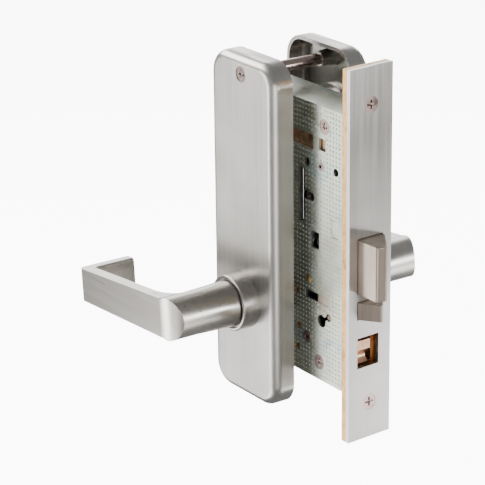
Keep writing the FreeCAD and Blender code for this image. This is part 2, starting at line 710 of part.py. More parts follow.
# ---------------------------------------------------------------- key cylinder
def cylinder_body():
    """Mortise cylinder: a round barrel with a flanged head."""
    barrel = rod_y(LEVER_X, CYLINDER_Z, 4.2, FACE_Y + 3.2, CYLINDER_RADIUS)
    head = rod_y(LEVER_X, CYLINDER_Z, FACE_Y + 3.2, FACE_Y + 5.0, CYLINDER_RADIUS + 0.9)
    return fuse_all(barrel, head).cut(rod_y(LEVER_X, PLUG_Z, 0, 60, PLUG_RADIUS + PIN_GAP))


def cylinder_ring():
    """Trim ring under the cylinder's head."""
    ring = rod_y(LEVER_X, CYLINDER_Z, FACE_Y, FACE_Y + 3.2, CYLINDER_RADIUS + 3.4)
    ring = ring.cut(rod_y(LEVER_X, CYLINDER_Z, 0, 60, CYLINDER_RADIUS))
    outer = [e for e in ring.Edges if abs(e.BoundBox.YMin - FACE_Y - 3.2) < 1e-4
             and e.BoundBox.XLength > 2 * CYLINDER_RADIUS + 1]
    return ring.makeChamfer(1.2, outer)


def cylinder_bushing():
    """Threaded ring inside the tray that the cylinder screws into."""
    ring = rod_y(LEVER_X, CYLINDER_Z, 5.0, CASE_INSIDE, CYLINDER_RADIUS + 2.6)
    return ring.cut(rod_y(LEVER_X, CYLINDER_Z, 0, 20, CYLINDER_RADIUS))


def clamp_screw():
    """Long screw from the front that locks the cylinder in its thread."""
    rod = behind_front(rod_x(LEVER_X + CYLINDER_RADIUS + 2.6, 0, 7.0, CYLINDER_Z, 1.8))
    return rod.cut(block(-7.6, 0, 0, 14, CYLINDER_Z - 0.4, CYLINDER_Z + 0.4))


CAM_REACH = 11.0


def key_plug():
    """Plug of the cylinder with its keyway."""
    plug = rod_y(LEVER_X, PLUG_Z, 4.0, FACE_Y + 5.0, PLUG_RADIUS)
    way = block(LEVER_X - 0.9, LEVER_X + 0.9, FACE_Y - 20, FACE_Y + 6, PLUG_Z - 3.9, PLUG_Z + 4.4)
    ward = block(LEVER_X - 0.2, LEVER_X + 0.9, FACE_Y - 20, FACE_Y + 6, PLUG_Z - 0.6, PLUG_Z + 0.6)
    return plug.cut(way.cut(ward))


def cylinder_cam():
    """Cam on the end of the plug, hanging down at rest."""
    hub_disc = rod_y(LEVER_X, PLUG_Z, 1.2, 4.0, 5.0)
    arm = block(LEVER_X - 3, LEVER_X + 3, 1.2, 4.0, PLUG_Z - CAM_REACH, PLUG_Z)
    return fuse_all(hub_disc, arm)


def key_slide():
    """Bronze slide behind the cover's windows; its tab faces the cam."""
    y0, y1 = -CASE_INSIDE + 0.3, -CASE_INSIDE + 1.8
    plate = block(-84.0, -18.5, y0, y1, 49.5, 60.2)
    tab_x = LEVER_X - 3.8
    tab = block(tab_x - 3, tab_x, y1, 3.8, 49.5, 54.0)
    return fuse_all(plate, tab)



# ---------------------------------------------------------------- export
PARTS = {
    "armored_front": armored_front(),
    "inner_front": inner_front(),
    "front_screws": front_screws(),
    "case_body": case_body(),
    "case_cover": case_cover(),
    "cover_screws": cover_screws(),
    "cover_eyelets": cover_eyelets(),
    "cover_rivets": cover_rivets(),
    "guide_tab": guide_tab(),
    "bolt_guide": bolt_guide(),
    "latch_guide": latch_guide(),
    "auxiliary_guide": auxiliary_guide(),
    "wire_spring": wire_spring(),
    "slot_pin": slot_pin(),
    "keyhole_stud": keyhole_stud(),
    "latchbolt": latchbolt(),
    "latch_tail": latch_tail(),
    "latch_spring": latch_spring(),
    "auxiliary_bolt": auxiliary_bolt(),
    "auxiliary_tail": auxiliary_tail(),
    "auxiliary_spring": auxiliary_spring(),
    "deadlock_lever": deadlock_lever(),
    "deadlock_pin": deadlock_pin(),
    "inside_hub": inside_hub(),
    "outside_hub": outside_hub(),
    "inside_spindle": inside_spindle(),
    "outside_spindle": mirror_y(inside_spindle()),
    "inside_hub_spring": hub_spring(),
    "outside_hub_spring": mirror_y(hub_spring()),
    "inside_lever": near_lever(),
    "outside_lever": mirror_y(near_lever()),
    "inside_collar": near_collar(),
    "outside_collar": mirror_y(near_collar()),
    "inside_escutcheon": inside_escutcheon(),
    "outside_escutcheon": outside_escutcheon(),
    "mounting_post": mounting_post(),
    "trim_screw": trim_screw(),
    "toggle_housing": toggle_housing(),
    "toggle_pin": toggle_pin(),
    "toggle_rocker": toggle_rocker(),
    "stop_slide": stop_slide(),
    "stop_guide": stop_guide(),
    "cylinder_body": cylinder_body(),
    "cylinder_ring": cylinder_ring(),
    "cylinder_bushing": cylinder_bushing(),
    "clamp_screw": clamp_screw(),
    "key_plug": key_plug(),
    "cylinder_cam": cylinder_cam(),
    "key_slide": key_slide(),
}

os.makedirs("parts", exist_ok=True)
for name, shape in PARTS.items():
    if not shape.isValid():
        print("not valid:", name)
    shape.exportStep("parts/%s.step" % name)
    print("%-20s solids %2d  volume %9.1f" % (name, len(shape.Solids), shape.Volume))
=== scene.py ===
"""Looks of a mortise lock with long escutcheons and return levers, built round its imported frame.

Lengths are written in millimetres and turned to metres by MM. +X points out of the door edge,
+Y through the door to its outside, +Z up.
"""

import json
import logging
import math
from dataclasses import dataclass, field
from enum import Enum

import bmesh
import bpy
from mathutils import Matrix, Vector
from mathutils.bvhtree import BVHTree


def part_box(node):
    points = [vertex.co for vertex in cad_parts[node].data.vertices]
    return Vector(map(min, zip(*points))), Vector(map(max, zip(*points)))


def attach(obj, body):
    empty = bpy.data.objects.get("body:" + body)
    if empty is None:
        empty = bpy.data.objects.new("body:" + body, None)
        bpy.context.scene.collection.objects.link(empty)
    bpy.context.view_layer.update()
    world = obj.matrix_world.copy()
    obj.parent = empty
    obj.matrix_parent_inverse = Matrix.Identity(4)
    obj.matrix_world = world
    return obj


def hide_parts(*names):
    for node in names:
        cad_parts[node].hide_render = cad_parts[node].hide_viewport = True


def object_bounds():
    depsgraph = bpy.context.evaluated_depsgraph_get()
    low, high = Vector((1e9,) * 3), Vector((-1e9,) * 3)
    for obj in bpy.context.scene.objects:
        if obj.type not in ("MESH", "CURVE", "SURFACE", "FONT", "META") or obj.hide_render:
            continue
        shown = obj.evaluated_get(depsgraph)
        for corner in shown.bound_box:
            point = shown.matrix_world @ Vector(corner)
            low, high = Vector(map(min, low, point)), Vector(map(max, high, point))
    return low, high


MM = 0.001
LOG = logging.getLogger("mortise_lock")

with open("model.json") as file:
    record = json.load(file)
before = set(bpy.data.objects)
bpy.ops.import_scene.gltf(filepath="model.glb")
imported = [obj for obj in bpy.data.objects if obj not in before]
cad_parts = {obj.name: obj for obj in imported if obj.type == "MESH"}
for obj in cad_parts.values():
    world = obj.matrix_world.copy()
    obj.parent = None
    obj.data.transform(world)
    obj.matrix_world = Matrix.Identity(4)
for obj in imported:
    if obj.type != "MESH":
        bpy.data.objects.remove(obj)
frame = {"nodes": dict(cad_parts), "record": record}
CAD_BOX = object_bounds()


class Side(Enum):
    """Side of the door that a piece of trim is on, as the sign of its Y."""

    INSIDE = -1
    OUTSIDE = 1


class Grain(Enum):
    """Direction in which a surface was brushed, as the axis that its scratches follow."""

    ALONG_X = (0.02, 1.0, 1.0)
    ALONG_Z = (1.0, 1.0, 0.02)


# ------------------------------------------------------------------ small tools
def linear(hex_colour: str) -> tuple[float, float, float, float]:
    """Turn an sRGB hex colour to linear RGBA.

    Args:
        hex_colour: Six hex digits, such as "a5a29e".

    Returns:
        Linear red, green, blue and an alpha of 1.
    """
    made = []
    for start in (0, 2, 4):
        value = int(hex_colour[start:start + 2], 16) / 255
        made.append(value / 12.92 if value <= 0.04045 else ((value + 0.055) / 1.055) ** 2.4)
    return (made[0], made[1], made[2], 1.0)


def add(tree: bpy.types.NodeTree, kind: str, settings: dict | None = None,
        links: dict | None = None) -> bpy.types.Node:
    """Add a shader node with its settings and its links.

    Args:
        tree: Node tree that the node goes in.
        kind: Node type, such as "ShaderNodeBump".
        settings: Node attributes, or input sockets by name or number, and their values.
        links: Input sockets by name or number, and the output sockets that feed them.

    Returns:
        The new node.
    """
    node = tree.nodes.new(kind)
    for key, value in (settings or {}).items():
        if isinstance(key, int) or key in node.inputs:
            node.inputs[key].default_value = value
        else:
            setattr(node, key, value)
    for key, output in (links or {}).items():
        tree.links.new(output, node.inputs[key])
    return node


def piece_from(name: str, mesh: bmesh.types.BMesh) -> bpy.types.Object:
    """Make a scene object from a bmesh and free the bmesh.

    Args:
        name: Name of the object.
        mesh: Finished bmesh, in metres.

    Returns:
        The linked object, at the origin.
    """
    data = bpy.data.meshes.new(name)
    mesh.to_mesh(data)
    mesh.free()
    made = bpy.data.objects.new(name, data)
    bpy.context.scene.collection.objects.link(made)
    return made


def apply_modifiers(piece: bpy.types.Object) -> None:
    """Bake the modifiers of a piece into its mesh."""
    graph = bpy.context.evaluated_depsgraph_get()
    baked = bpy.data.meshes.new_from_object(piece.evaluated_get(graph))
    piece.modifiers.clear()
    piece.data = baked


def combine(piece: bpy.types.Object, other: bpy.types.Object, operation: str) -> None:
    """Join, cut or intersect a piece with another, which is used up.

    Args:
        piece: Piece that is changed.
        other: Closed piece that is deleted afterwards.
        operation: "UNION", "DIFFERENCE" or "INTERSECT".
    """
    step = piece.modifiers.new("combine", "BOOLEAN")
    step.object = other
    step.operation = operation
    step.solver = "EXACT"
    apply_modifiers(piece)
    bpy.data.objects.remove(other)


def clean(piece: bpy.types.Object, flat_angle: float = 0.4) -> None:
    """Merge doubles and join coplanar faces, so that only real edges stay."""
    mesh = bmesh.new()
    mesh.from_mesh(piece.data)
    bmesh.ops.remove_doubles(mesh, verts=mesh.verts, dist=0.002 * MM)
    bmesh.ops.dissolve_degenerate(mesh, edges=mesh.edges, dist=0.001 * MM)
    bmesh.ops.dissolve_limit(mesh, angle_limit=math.radians(flat_angle), verts=mesh.verts,
                             edges=mesh.edges, delimit={"NORMAL"})
    mesh.to_mesh(piece.data)
    mesh.free()


def shade(piece: bpy.types.Object, sharp_angle: float = 40.0) -> None:
    """Shade smooth with sharp edges over an angle and flats that stay flat."""
    for polygon in piece.data.polygons:
        polygon.use_smooth = True
    piece.data.set_sharp_from_angle(angle=math.radians(sharp_angle))
    step = piece.modifiers.new("flats", "WEIGHTED_NORMAL")
    step.keep_sharp = True
    step.weight = 60


def soften(piece: bpy.types.Object, width: float, segments: int = 2, angle: float = 32.0) -> None:
    """Round the sharp edges of a piece.

    Args:
        piece: Piece with clean edges.
        width: Width of the rounding, in mm.
        segments: Steps across the rounding.
        angle: Smallest turn between two faces, in degrees, that is rounded.
    """
    step = piece.modifiers.new("soften", "BEVEL")
    step.width = width * MM
    step.segments = segments
    step.limit_method = "ANGLE"
    step.angle_limit = math.radians(angle)
    step.use_clamp_overlap = True
    step.miter_outer = "MITER_ARC"
    apply_modifiers(piece)


def lathe(profile: list[tuple[float, float]], axis_x: float, axis_z: float,
          steps: int = 96) -> bmesh.types.BMesh:
    """Turn a closed profile round an axis along Y.

    Args:
        profile: Points of (radius, y) in mm; the last joins the first.
        axis_x: Place of the axis in X, in mm.
        axis_z: Place of the axis in Z, in mm.
        steps: Steps in the full turn.

    Returns:
        A closed bmesh in metres.
    """
    mesh = bmesh.new()
    points = [mesh.verts.new(Vector((radius, y, 0)) * MM) for radius, y in profile]
    edges = [mesh.edges.new((a, b)) for a, b in zip(points, points[1:] + points[:1])]
    bmesh.ops.spin(mesh, geom=points + edges, cent=(0, 0, 0), axis=(0, 1, 0), dvec=(0, 0, 0),
                   angle=math.tau, steps=steps, use_merge=True, use_duplicate=False)
    bmesh.ops.remove_doubles(mesh, verts=mesh.verts, dist=0.001 * MM)
    bmesh.ops.recalc_face_normals(mesh, faces=mesh.faces)
    bmesh.ops.translate(mesh, verts=mesh.verts, vec=Vector((axis_x, 0, axis_z)) * MM)
    return mesh


def rod(axis_x: float, axis_z: float, y_low: float, y_high: float, radius: float,
        radius_high: float | None = None, segments: int = 96) -> bpy.types.Object:
    """Make a round bar or cone along Y, usually as a cutter.

    Args:
        axis_x: Place of the axis in X, in mm.
        axis_z: Place of the axis in Z, in mm.
        y_low: Low end in Y, in mm.
        y_high: High end in Y, in mm.
        radius: Radius at the low end, in mm.
        radius_high: Radius at the high end, in mm; the same if left out.
        segments: Faces round the bar.

    Returns:
        A closed piece.
    """
    mesh = bmesh.new()
    bmesh.ops.create_cone(mesh, cap_ends=True, segments=segments, radius1=radius * MM,
                          radius2=(radius if radius_high is None else radius_high) * MM,
                          depth=(y_high - y_low) * MM)
    bmesh.ops.rotate(mesh, verts=mesh.verts, cent=(0, 0, 0), matrix=Matrix.Rotation(-math.pi / 2, 3, "X"))
    middle = Vector((axis_x, (y_low + y_high) / 2, axis_z)) * MM
    bmesh.ops.translate(mesh, verts=mesh.verts, vec=middle)
    return piece_from("rod", mesh)


def merged_copy(node: str, name: str) -> bpy.types.Object:
    """Copy a CAD node's mesh with its triangles joined along their edges."""
    mesh = bmesh.new()
    mesh.from_mesh(frame["nodes"][node].data)
    bmesh.ops.remove_doubles(mesh, verts=mesh.verts, dist=0.001 * MM)
    return piece_from(name, mesh)


def node_middle(node: str) -> Vector:
    """Middle of a CAD node's box, in mm."""
    low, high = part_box(node)
    return (low + high) / 2 / MM


# ------------------------------------------------------------------ finishes
@dataclass(frozen=True)
class BrushedMetal:
    """Metal that a belt brushed one way: fine scratches spread its highlights across them."""

    name: str
    colour: str
    streak_colour: str
    roughness: float
    grain: Grain
    scratch_mm: float = 0.35
    scratch_depth_mm: float = 0.004
    cloud_mm: float = 45.0
    anisotropy: float = 0.6

    def material(self) -> bpy.types.Material:
        """Build the material."""
        made = bpy.data.materials.new(self.name)
        made.use_nodes = True
        tree = made.node_tree
        tree.nodes.clear()
        place = add(tree, "ShaderNodeTexCoord")
        along = add(tree, "ShaderNodeMapping", {"Scale": self.grain.value},
                    {"Vector": place.outputs["Object"]})
        fine = add(tree, "ShaderNodeTexNoise", {"Scale": 1 / (self.scratch_mm * MM), "Detail": 3.0,
                                                "Roughness": 0.6}, {"Vector": along.outputs[0]})
        coarse = add(tree, "ShaderNodeTexNoise", {"Scale": 1 / (6 * self.scratch_mm * MM), "Detail": 4.0,
                                                  "Roughness": 0.65}, {"Vector": along.outputs[0]})
        cloud = add(tree, "ShaderNodeTexNoise", {"Scale": 1 / (self.cloud_mm * MM), "Detail": 2.0},
                    {"Vector": place.outputs["Object"]})
        blend = add(tree, "ShaderNodeMath", {"operation": "MULTIPLY_ADD", 1: 0.6},
                    {0: coarse.outputs["Fac"], 2: cloud.outputs["Fac"]})
        ramp = add(tree, "ShaderNodeValToRGB", None, {"Fac": blend.outputs[0]})
        ramp.color_ramp.elements[0].position = 0.55
        ramp.color_ramp.elements[0].color = linear(self.streak_colour)
        ramp.color_ramp.elements[1].position = 1.0
        ramp.color_ramp.elements[1].color = linear(self.colour)
        rough = add(tree, "ShaderNodeMapRange", {"From Min": 0.3, "From Max": 0.7,
                                                 "To Min": self.roughness - 0.03,
                                                 "To Max": self.roughness + 0.04},
                    {"Value": coarse.outputs["Fac"]})
        bump = add(tree, "ShaderNodeBump", {"Strength": 0.5, "Distance": self.scratch_depth_mm * MM},
                   {"Height": fine.outputs["Fac"]})
        across = add(tree, "ShaderNodeTangent", {"direction_type": "RADIAL", "axis": self.grain.name[-1]})
        shader = add(tree, "ShaderNodeBsdfPrincipled", {"Metallic": 1.0, "Anisotropic": self.anisotropy},
                     {"Base Color": ramp.outputs["Color"], "Roughness": rough.outputs[0],
                      "Normal": bump.outputs["Normal"], "Tangent": across.outputs[0]})
        add(tree, "ShaderNodeOutputMaterial", None, {"Surface": shader.outputs[0]})
        return made


@dataclass(frozen=True)
class PlatedMetal:
    """Metal under a thin plated or passivated film, whose thickness drifts its tint in patches."""

    name: str
    colours: tuple[str, ...]
    roughness: float
    patch_mm: float = 9.0
    grit_mm: float = 0.5
    grit_depth_mm: float = 0.02
    metallic: float = 1.0

    def material(self) -> bpy.types.Material:
        """Build the material."""
        made = bpy.data.materials.new(self.name)
        made.use_nodes = True
        tree = made.node_tree
        tree.nodes.clear()
        place = add(tree, "ShaderNodeTexCoord")
        patch = add(tree, "ShaderNodeTexNoise", {"Scale": 1 / (self.patch_mm * MM), "Detail": 4.0,
                                                 "Roughness": 0.6, "Distortion": 0.4},
                    {"Vector": place.outputs["Object"]})
        ramp = add(tree, "ShaderNodeValToRGB", None, {"Fac": patch.outputs["Fac"]})
        stops = ramp.color_ramp.elements
        first, last = 0.32, 0.68
        for number, colour in enumerate(self.colours):
            position = first + (last - first) * number / (len(self.colours) - 1)
            stop = stops[number] if number < 2 else stops.new(position)
            stop.position = position
            stop.color = linear(colour)
        grit = add(tree, "ShaderNodeTexNoise", {"Scale": 1 / (self.grit_mm * MM), "Detail": 3.0},
                   {"Vector": place.outputs["Object"]})
        rough = add(tree, "ShaderNodeMapRange", {"From Min": 0.3, "From Max": 0.7,
                                                 "To Min": self.roughness - 0.07,
                                                 "To Max": self.roughness + 0.1},
                    {"Value": patch.outputs["Fac"]})
        bump = add(tree, "ShaderNodeBump", {"Strength": 0.4, "Distance": self.grit_depth_mm * MM},
                   {"Height": grit.outputs["Fac"]})
        shader = add(tree, "ShaderNodeBsdfPrincipled", {"Metallic": self.metallic},
                     {"Base Color": ramp.outputs["Color"], "Roughness": rough.outputs[0],
                      "Normal": bump.outputs["Normal"]})
        add(tree, "ShaderNodeOutputMaterial", None, {"Surface": shader.outputs[0]})
        return made


class Finishes:
    """Every finish of the lock, by the material slot that it fills."""

    def __init__(self) -> None:
        """Build the materials once."""
        # Stainless plate, belt-brushed upright: soft upright streaks, highlights drawn sideways.
        plate = BrushedMetal("satin_stainless_brushed_upright", "b3b0ab", "9d9994", 0.33, Grain.ALONG_Z)
        # The lever is cast and linished along its bar, a little smoother than the plate.
        lever = BrushedMetal("cast_stainless_linished", "b4afa8", "aca7a0", 0.30, Grain.ALONG_X, 0.4, 0.0008)
        # Zinc plated steel sheet: pale, slightly green, with a faint rainbow film.
        zinc = PlatedMetal("zinc_plated_sheet", ("a8a699", "b0b4a8", "b9bdb1", "a6b1ae"),
                           0.42, 16.0, 0.9, 0.02)
        # Yellow dichromate passivation: straw, tan and greenish patches.
        yellow = PlatedMetal("yellow_dichromate_steel", ("86653c", "b58c58", "a67f52", "a08c60"), 0.38, 7.0)
        # Bolts are stainless with a warm cast and fine upright scratches.
        bolt = BrushedMetal("warm_stainless_bolt", "a89a8e", "8d7f74", 0.33, Grain.ALONG_Z, 0.3)
        # Sintered bronze, dull and slightly mottled.
        bronze = PlatedMetal("sintered_bronze", ("a07c62", "bf987c", "cfae96"), 0.36, 4.0, 0.3, 0.01)
        brass = BrushedMetal("turned_brass", "b39a6c", "8f7850", 0.33, Grain.ALONG_Z, 0.25)
        # Screws: plated, with a pinkish cast.
        screw = PlatedMetal("plated_screw_steel", ("8d7a72", "a4918a", "988680"), 0.26, 16.0, 0.9, 0.002)
        spring = BrushedMetal("bright_spring_wire", "b9b9b7", "8f8f8d", 0.25, Grain.ALONG_X, 0.2)
        self.by_slot = {
            "satin_stainless": plate.material(),
            "cast_stainless": lever.material(),
            "zinc_sheet": zinc.material(),
            "dichromate_steel": yellow.material(),
            "bolt_stainless": bolt.material(),
            "bronze": bronze.material(),
            "brass": brass.material(),
            "screw_steel": screw.material(),
            "spring_steel": spring.material(),
        }
        self.slot_of = {row["node"]: row["material_slot"] for row in frame["record"]["subparts"]}

    def dress(self, piece: bpy.types.Object, slot: str) -> None:
        """Give a piece one finish all over.

        Args:
            piece: Piece or CAD node.
            slot: Material slot of the record.
        """
        if not piece.data.materials:
            piece.data.materials.append(None)
        for place in piece.material_slots:
            place.link = "OBJECT"
            place.material = self.by_slot[slot]
        for polygon in piece.data.polygons:
            polygon.material_index = 0

    def stand_in(self, piece: bpy.types.Object, node: str, body: str) -> None:
        """Put a finished piece in a CAD node's place, with that node's finish and motion."""
        slot = self.slot_of[node]
        self.dress(piece, slot)
        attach(piece, body)
        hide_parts(node)
        LOG.info("%s stands for %s on %s: %d faces", piece.name, node, body, len(piece.data.polygons))


# ------------------------------------------------------------------ trim
@dataclass
class Escutcheon:
    """Drawn plate with round corners and a soft face edge, open towards the door."""

    side: Side
    node: str
    body: str = "lock_case"
    corner: float = 13.0
    edge: float = 5.0
    wall: float = 2.2
    shank_hole: float = 13.1
    post_height: float = 86.8
    head_radius: float = 4.3
    screw_sink: float = 0.5
    cylinder_radius: float = 14.8
    cylinder_rim: float = 2.8
    cylinder_rim_depth: float = 4.6
    screw_radius: float = 1.9
    post_radius: float = 3.1
    inside_boss: float = 5.2
    outside_boss: float = 5.4
    outside_boss_end: float = 4.0
    low: Vector = field(init=False)
    high: Vector = field(init=False)

    def __post_init__(self) -> None:
        """Read the plate's box from the frame, in mm."""
        low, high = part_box(self.node)
        self.low, self.high = low / MM, high / MM

    def block(self, inset: float, face_inset: float, open_extra: float) -> bpy.types.Object:
        """Make the rounded block that the plate's outside or inside fills.

        Args:
            inset: Distance inside the plate's outline, in mm.
            face_inset: Distance behind the plate's face, in mm.
            open_extra: How far the block runs past the open rim, in mm.

        Returns:
            A closed piece on the inside of the door.
        """
        half_width = (self.high.x - self.low.x) / 2 - inset
        half_height = (self.high.z - self.low.z) / 2 - inset
        depth = self.high.y - self.low.y - face_inset + open_extra
        mesh = bmesh.new()
        bmesh.ops.create_grid(mesh, x_segments=1, y_segments=1, size=1.0)
        bmesh.ops.scale(mesh, verts=mesh.verts, vec=(half_width * MM, half_height * MM, 1.0))
        bmesh.ops.bevel(mesh, geom=mesh.verts[:], offset=(self.corner - inset) * MM, offset_type="OFFSET",
                        segments=14, profile=0.5, affect="VERTICES", material=-1)
        grown = bmesh.ops.extrude_face_region(mesh, geom=mesh.faces[:])
        top = [part for part in grown["geom"] if isinstance(part, bmesh.types.BMVert)]
        bmesh.ops.translate(mesh, verts=top, vec=(0, 0, depth * MM))
        bmesh.ops.recalc_face_normals(mesh, faces=mesh.faces)
        rim = [edge for edge in mesh.edges if all(vert.co.z > (depth - 0.01) * MM for vert in edge.verts)]
        bmesh.ops.bevel(mesh, geom=rim, offset=(self.edge - inset * 0.8) * MM, offset_type="OFFSET",
                        segments=10, profile=0.5, affect="EDGES", material=-1)
        bmesh.ops.rotate(mesh, verts=mesh.verts, cent=(0, 0, 0), matrix=Matrix.Rotation(math.pi / 2, 3, "X"))
        rim_y = abs(self.high.y if self.side is Side.INSIDE else self.low.y)
        middle = Vector(((self.low.x + self.high.x) / 2, -rim_y + open_extra,
                         (self.low.z + self.high.z) / 2))
        bmesh.ops.translate(mesh, verts=mesh.verts, vec=middle * MM)
        return piece_from(self.node + "_plate", mesh)

    def build(self, finishes: Finishes) -> bpy.types.Object:
        """Build the plate with its holes, bosses and finish."""
        lever = node_middle("inside_spindle")
        face = -max(abs(self.low.y), abs(self.high.y))
        rim = -min(abs(self.low.y), abs(self.high.y))
        plate = self.block(0.0, 0.0, 0.0)
        combine(plate, self.block(self.wall, self.wall, 5.0), "DIFFERENCE")
        if self.side is Side.INSIDE:
            boss = rod(lever.x, self.post_height, face + 1.0, rim - 0.01, self.inside_boss, segments=48)
            combine(plate, boss, "UNION")
            sink = face + self.screw_sink
            combine(plate, rod(lever.x, self.post_height, face - 1, sink + 0.3, self.head_radius),
                    "DIFFERENCE")
            combine(plate, rod(lever.x, self.post_height, sink + 0.29, sink + 2.2, self.head_radius,
                               self.screw_radius), "DIFFERENCE")
            combine(plate, rod(lever.x, self.post_height, sink, 0, self.screw_radius), "DIFFERENCE")
            combine(plate, rod(lever.x, self.post_height, rim - 6, 0, self.post_radius, segments=48),
                    "DIFFERENCE")
        else:
            cylinder = node_middle("cylinder_body")
            combine(plate, rod(cylinder.x, cylinder.z, face + 1.0, face + self.cylinder_rim_depth,
                               self.cylinder_radius + self.cylinder_rim), "UNION")
            combine(plate, rod(lever.x, self.post_height, face + 1.0, rim - 0.01, self.outside_boss,
                               self.outside_boss_end, segments=48), "UNION")
            combine(plate, rod(cylinder.x, cylinder.z, -60, 0, self.cylinder_radius), "DIFFERENCE")
            combine(plate, rod(lever.x, self.post_height, rim - 8, 0, self.post_radius, segments=48),
                    "DIFFERENCE")
        combine(plate, rod(lever.x, lever.z, -60, 0, self.shank_hole), "DIFFERENCE")
        if self.side is Side.OUTSIDE:
            mirror_to_outside(plate)
        clean(plate, 0.2)
        soften(plate, 0.25, 2, 50.0)
        shade(plate)
        finishes.stand_in(plate, self.node, self.body)
        return plate


def mirror_to_outside(piece: bpy.types.Object) -> None:
    """Mirror a piece through the middle plane of the door and turn its faces outwards again."""
    mesh = bmesh.new()
    mesh.from_mesh(piece.data)
    bmesh.ops.scale(mesh, verts=mesh.verts, vec=(1, -1, 1))
    bmesh.ops.reverse_faces(mesh, faces=mesh.faces)
    mesh.to_mesh(piece.data)
    mesh.free()


@dataclass
class ReturnLever:
    """Cast lever: round shank, elbow with a curved face, flat bar and a return to the door."""

    side: Side
    node: str
    body: str
    droop_degrees: float = 4.2
    shank_radius: float = 12.7
    neck_radius: float = 11.75
    shank_end_y: float = -20.7
    collar_end_y: float = -42.6
    neck_y: float = -65.2
    outer_y: float = -81.7
    thickness: float = 6.6
    length: float = 87.0
    root_half: float = 10.9
    tip_half: float = 9.3
    return_length: float = 32.0
    corner: float = 3.6
    bend: float = 2.6
    crook: float = 8.0
    elbow_radius: float = 33.7
    elbow_start: float = -5.2
    inner_round: float = 1.9

    def shank(self) -> bpy.types.Object:
        """Round shank, its end cut by the elbow's curved face."""
        rounding = 0.5
        mesh = lathe([(0, self.shank_end_y), (self.shank_radius, self.shank_end_y),
                      (self.shank_radius, self.collar_end_y), (self.neck_radius, self.neck_y),
                      (self.neck_radius, self.outer_y + rounding),
                      (self.neck_radius - rounding, self.outer_y), (0, self.outer_y)], 0, 0, 128)
        made = piece_from("shank", mesh)
        face = bmesh.new()
        bmesh.ops.create_cone(face, cap_ends=True, segments=360, radius1=self.elbow_radius * MM,
                              radius2=self.elbow_radius * MM, depth=40 * MM)
        centre = Vector((self.elbow_start, self.outer_y + self.elbow_radius, 0)) * MM
        bmesh.ops.translate(face, verts=face.verts, vec=centre)
        rest = bmesh.new()
        bmesh.ops.create_cube(rest, size=1.0)
        bmesh.ops.scale(rest, verts=rest.verts, vec=Vector((60, 60, 60)) * MM)
        bmesh.ops.translate(rest, verts=rest.verts, vec=Vector((0, self.neck_y + 30, 0)) * MM)
        keep = piece_from("elbow_face", face)
        combine(keep, piece_from("elbow_rest", rest), "UNION")
        combine(made, keep, "INTERSECT")
        return made

    def bar(self) -> bpy.types.Object:
        """Flat bar with its return, rounded more along its inner edges."""
        outer, inner = self.outer_y, self.outer_y + self.thickness
        tip = -self.length
        root = -math.sqrt(self.neck_radius ** 2 - self.root_half ** 2)
        end_y = outer + self.return_length
        outline = [(root, inner), (root, outer), (tip, outer), (tip, end_y),
                   (tip + self.thickness, end_y), (tip + self.thickness, inner)]
        mesh = bmesh.new()
        corners = [mesh.verts.new(Vector((x, y, 0)) * MM) for x, y in outline]
        mesh.faces.new(corners)
        for corner, radius in ((corners[2], self.corner), (corners[5], self.bend)):
            bmesh.ops.bevel(mesh, geom=[corner], offset=radius * MM, offset_type="OFFSET",
                            segments=8, profile=0.5, affect="VERTICES", material=-1)
        bmesh.ops.recalc_face_normals(mesh, faces=mesh.faces)
        grown = bmesh.ops.extrude_face_region(mesh, geom=mesh.faces[:])
        top = [part for part in grown["geom"] if isinstance(part, bmesh.types.BMVert)]
        bmesh.ops.translate(mesh, verts=top, vec=(0, 0, 2 * self.root_half * MM))
        bmesh.ops.translate(mesh, verts=mesh.verts, vec=(0, 0, -self.root_half * MM))
        for vert in mesh.verts:
            share = min(max((-self.neck_radius - vert.co.x / MM) / (self.length - self.neck_radius), 0), 1)
            vert.co.z *= 1 + (self.tip_half / self.root_half - 1) * share
        bmesh.ops.recalc_face_normals(mesh, faces=mesh.faces)
        rims = [edge for edge in mesh.edges if abs(edge.verts[0].co.z - edge.verts[1].co.z) < 1.2 * MM
                and edge.calc_length() > 0.1 * MM and not self.at_root(edge, root)]
        inside = [edge for edge in rims if self.faces_inwards(edge, inner, tip)]
        bmesh.ops.bevel(mesh, geom=inside, offset=self.inner_round * MM, offset_type="OFFSET", segments=4,
                        profile=0.5, affect="EDGES", material=-1, clamp_overlap=True)
        return piece_from("bar", mesh)

    def at_root(self, edge: bmesh.types.BMEdge, root: float) -> bool:
        """Tell whether an edge lies on the bar's buried root face."""
        return all(abs(vert.co.x / MM - root) < 0.01 for vert in edge.verts)

    def faces_inwards(self, edge: bmesh.types.BMEdge, inner: float, tip: float) -> bool:
        """Tell whether an edge runs along the bar's or the return's inner face."""
        limit = tip + self.thickness - 0.01
        return all(vert.co.x / MM > limit and vert.co.y / MM > inner - 0.01 for vert in edge.verts)

    def flare(self) -> bpy.types.Object:
        """Hollow curve between shank and bar, on the bar's side only."""
        inner = self.outer_y + self.thickness
        wide = self.neck_radius + self.crook
        steps = 12
        curve = []
        for step in range(steps + 1):
            turn = step / steps * math.pi / 2
            curve.append((wide - self.crook * math.cos(turn),
                          inner + self.crook * (1 - math.sin(turn)) - 0.005))
        profile = [(0, inner + self.crook - 0.005)] + curve + [(wide, inner - 3), (0, inner - 3)]
        made = piece_from("flare", lathe(profile, 0, 0, 128))
        slab = bmesh.new()
        bmesh.ops.create_cube(slab, size=1.0)
        bmesh.ops.scale(slab, verts=slab.verts, vec=Vector((40, 100, 2 * self.root_half - 0.02)) * MM)
        bmesh.ops.translate(slab, verts=slab.verts, vec=Vector((-20, -70, 0)) * MM)
        combine(made, piece_from("slab", slab), "INTERSECT")
        return made

